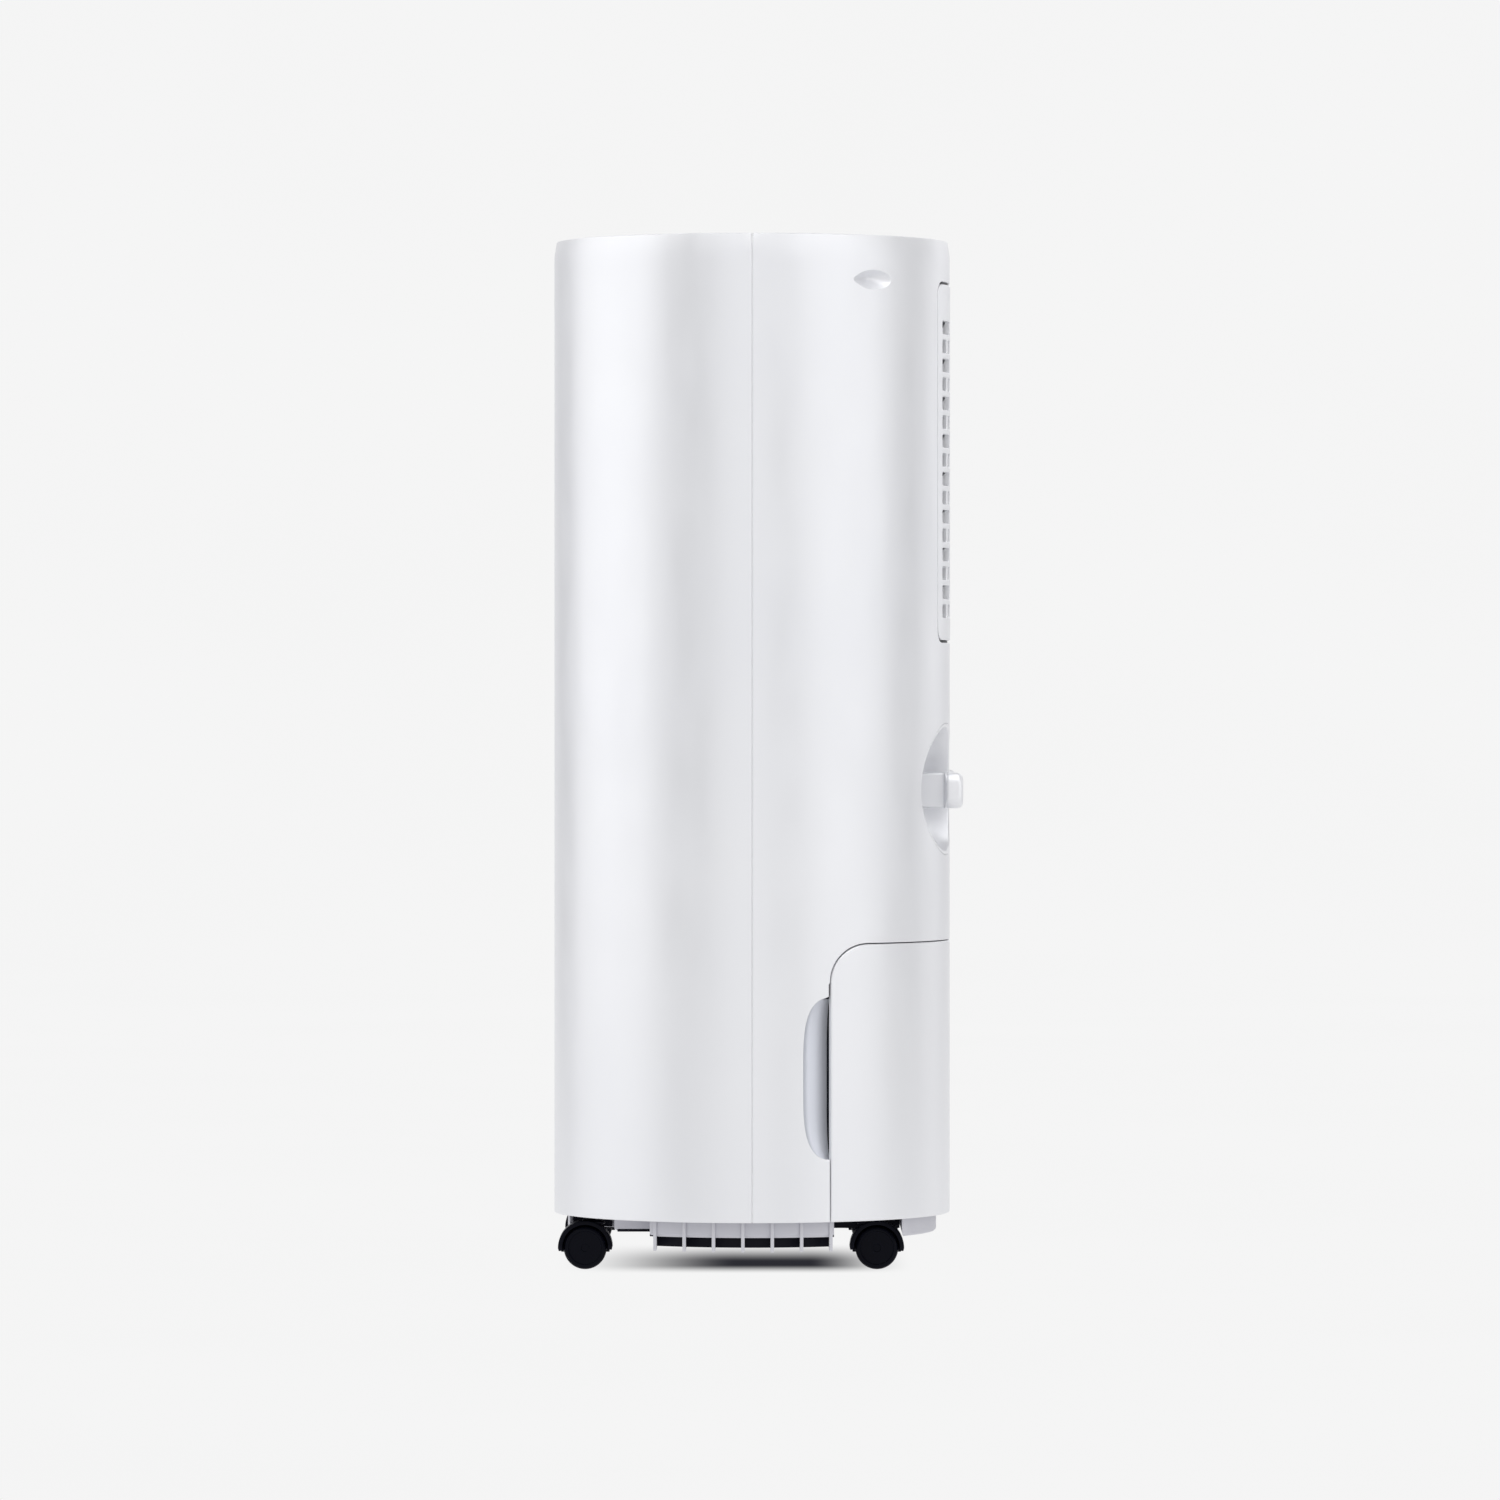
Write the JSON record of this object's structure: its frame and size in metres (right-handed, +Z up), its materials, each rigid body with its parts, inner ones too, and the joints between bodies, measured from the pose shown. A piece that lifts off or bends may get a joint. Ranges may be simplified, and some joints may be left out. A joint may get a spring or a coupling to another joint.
{
  "type": "dehumidifier",
  "caption": "Tall oval household dehumidifier with slide-out water tank, rear air inlet grille, cord cleats and swivel casters.",
  "frame": {"origin": "middle of the whole footprint on the floor, under the wheels", "axes": "+Z up, +X to the right seen from the front, +Y towards the back where the grille, cleats and tank are"},
  "size_m": [0.37, 0.239, 0.6],
  "materials": {
    "cool_white_casing": "satin injection-moulded plastic, fine texture",
    "light_grey_trim": "matte light grey plastic",
    "black_caster_plastic": "satin black nylon",
    "gloss_black_panel": "glossy black plastic",
    "display_lens": "smoked clear lens",
    "clear_tank": "translucent pale blue plastic",
    "black_enamel_steel": "black enamelled steel",
    "copper_pipe": "bare copper tube",
    "coil_aluminium": "bare finned aluminium",
    "circuit_board": "green circuit board",
    "rubber": "matte black rubber",
    "filter_mesh": "woven dust filter mesh"
  },
  "bodies": {
    "chassis": {"front_shell": "cool_white_casing", "rear_shell": "cool_white_casing", "top_cover": "cool_white_casing", "cleat_dish_left": "cool_white_casing", "cleat_dish_right": "cool_white_casing", "cord_cleat_left": "cool_white_casing", "cord_cleat_right": "cool_white_casing", "base_pan": "light_grey_trim", "rib_skirt_left": "light_grey_trim", "rib_skirt_right": "light_grey_trim", "drip_tray": "light_grey_trim", "drain_tube": "light_grey_trim", "fan_scroll": "light_grey_trim", "electrical_box": "light_grey_trim", "louver_motor": "light_grey_trim", "tank_switch": "black_caster_plastic", "control_panel": "gloss_black_panel", "display_lens": "display_lens", "compressor": "black_enamel_steel", "fan_motor": "black_enamel_steel", "suction_pipe": "copper_pipe", "discharge_pipe": "copper_pipe", "capillary_tube": "copper_pipe", "evaporator_coil": "coil_aluminium", "condenser_coil": "coil_aluminium", "control_board": "circuit_board", "humidity_sensor": "circuit_board", "cord_gland": "rubber", "compressor_foot_1": "rubber", "compressor_foot_2": "rubber", "compressor_foot_3": "rubber"},
    "tank": {"water_tank": "clear_tank", "tank_panel": "cool_white_casing", "tank_lid": "light_grey_trim"},
    "tank_handle": {"tank_handle": "light_grey_trim"},
    "tank_float": {"tank_float": "light_grey_trim"},
    "louver": {"outlet_louver": "cool_white_casing"},
    "fan": {"fan_impeller": "black_caster_plastic"},
    "inlet_filter": {"inlet_grille": "cool_white_casing", "filter_frame": "light_grey_trim", "filter_mesh": "filter_mesh"},
    "power_button": {"power_button": "gloss_black_panel"},
    "mode_button": {"mode_button": "gloss_black_panel"},
    "fan_button": {"fan_button": "gloss_black_panel"},
    "timer_button": {"timer_button": "gloss_black_panel"},
    "caster_front_left": {"caster_hood_front_left": "black_caster_plastic"},
    "wheel_front_left_left": {"wheel_front_left_left": "black_caster_plastic"},
    "wheel_front_left_right": {"wheel_front_left_right": "black_caster_plastic"},
    "caster_front_right": {"caster_hood_front_right": "black_caster_plastic"},
    "wheel_front_right_left": {"wheel_front_right_left": "black_caster_plastic"},
    "wheel_front_right_right": {"wheel_front_right_right": "black_caster_plastic"},
    "caster_rear_left": {"caster_hood_rear_left": "black_caster_plastic"},
    "wheel_rear_left_left": {"wheel_rear_left_left": "black_caster_plastic"},
    "wheel_rear_left_right": {"wheel_rear_left_right": "black_caster_plastic"},
    "caster_rear_right": {"caster_hood_rear_right": "black_caster_plastic"},
    "wheel_rear_right_left": {"wheel_rear_right_left": "black_caster_plastic"},
    "wheel_rear_right_right": {"wheel_rear_right_right": "black_caster_plastic"}
  },
  "joints": [
    {"name": "tank_slide", "type": "slide", "parent": "chassis", "child": "tank", "axis": [0, 1, 0], "range_m": [0, 0.14]},
    {"name": "handle_fold", "type": "hinge", "parent": "tank", "child": "tank_handle", "pos_m": [0, 0.0565, 0.1813], "axis": [-1, 0, 0], "range_deg": [0, 90]},
    {"name": "float_swing", "type": "hinge", "parent": "tank", "child": "tank_float", "pos_m": [-0.115, 0.0085, 0.1545], "axis": [1, 0, 0], "range_deg": [0, 15]},
    {"name": "louver_tilt", "type": "hinge", "parent": "chassis", "child": "louver", "pos_m": [0, 0.006, 0.5945], "axis": [-1, 0, 0], "range_deg": [0, 75]},
    {"name": "fan_spin", "type": "hinge", "parent": "chassis", "child": "fan", "pos_m": [0, -0.0195, 0.45], "axis": [0, 1, 0], "continuous": true},
    {"name": "filter_pull", "type": "slide", "parent": "chassis", "child": "inlet_filter", "axis": [0, 1, 0], "range_m": [0, 0.04]},
    {"name": "power_press", "type": "slide", "parent": "chassis", "child": "power_button", "axis": [0, 0, -1], "range_m": [0, 0.001], "stiffness_N_per_m": 300},
    {"name": "mode_press", "type": "slide", "parent": "chassis", "child": "mode_button", "axis": [0, 0, -1], "range_m": [0, 0.001], "stiffness_N_per_m": 300},
    {"name": "fan_press", "type": "slide", "parent": "chassis", "child": "fan_button", "axis": [0, 0, -1], "range_m": [0, 0.001], "stiffness_N_per_m": 300},
    {"name": "timer_press", "type": "slide", "parent": "chassis", "child": "timer_button", "axis": [0, 0, -1], "range_m": [0, 0.001], "stiffness_N_per_m": 300},
    {"name": "swivel_front_left", "type": "hinge", "parent": "chassis", "child": "caster_front_left", "pos_m": [-0.101, -0.0967, 0.0125], "axis": [0, 0, 1], "continuous": true},
    {"name": "roll_front_left_left", "type": "hinge", "parent": "caster_front_left", "child": "wheel_front_left_left", "pos_m": [-0.101, -0.1007, 0.0125], "axis": [1, 0, 0], "continuous": true},
    {"name": "roll_front_left_right", "type": "hinge", "parent": "caster_front_left", "child": "wheel_front_left_right", "pos_m": [-0.101, -0.1007, 0.0125], "axis": [1, 0, 0], "continuous": true},
    {"name": "swivel_front_right", "type": "hinge", "parent": "chassis", "child": "caster_front_right", "pos_m": [0.101, -0.0967, 0.0125], "axis": [0, 0, 1], "continuous": true},
    {"name": "roll_front_right_left", "type": "hinge", "parent": "caster_front_right", "child": "wheel_front_right_left", "pos_m": [0.101, -0.1007, 0.0125], "axis": [1, 0, 0], "continuous": true},
    {"name": "roll_front_right_right", "type": "hinge", "parent": "caster_front_right", "child": "wheel_front_right_right", "pos_m": [0.101, -0.1007, 0.0125], "axis": [1, 0, 0], "continuous": true},
    {"name": "swivel_rear_left", "type": "hinge", "parent": "chassis", "child": "caster_rear_left", "pos_m": [-0.101, 0.0652, 0.0125], "axis": [0, 0, 1], "continuous": true},
    {"name": "roll_rear_left_left", "type": "hinge", "parent": "caster_rear_left", "child": "wheel_rear_left_left", "pos_m": [-0.101, 0.0692, 0.0125], "axis": [1, 0, 0], "continuous": true},
    {"name": "roll_rear_left_right", "type": "hinge", "parent": "caster_rear_left", "child": "wheel_rear_left_right", "pos_m": [-0.101, 0.0692, 0.0125], "axis": [1, 0, 0], "continuous": true},
    {"name": "swivel_rear_right", "type": "hinge", "parent": "chassis", "child": "caster_rear_right", "pos_m": [0.101, 0.0652, 0.0125], "axis": [0, 0, 1], "continuous": true},
    {"name": "roll_rear_right_left", "type": "hinge", "parent": "caster_rear_right", "child": "wheel_rear_right_left", "pos_m": [0.101, 0.0692, 0.0125], "axis": [1, 0, 0], "continuous": true},
    {"name": "roll_rear_right_right", "type": "hinge", "parent": "caster_rear_right", "child": "wheel_rear_right_right", "pos_m": [0.101, 0.0692, 0.0125], "axis": [1, 0, 0], "continuous": true}
  ]
}
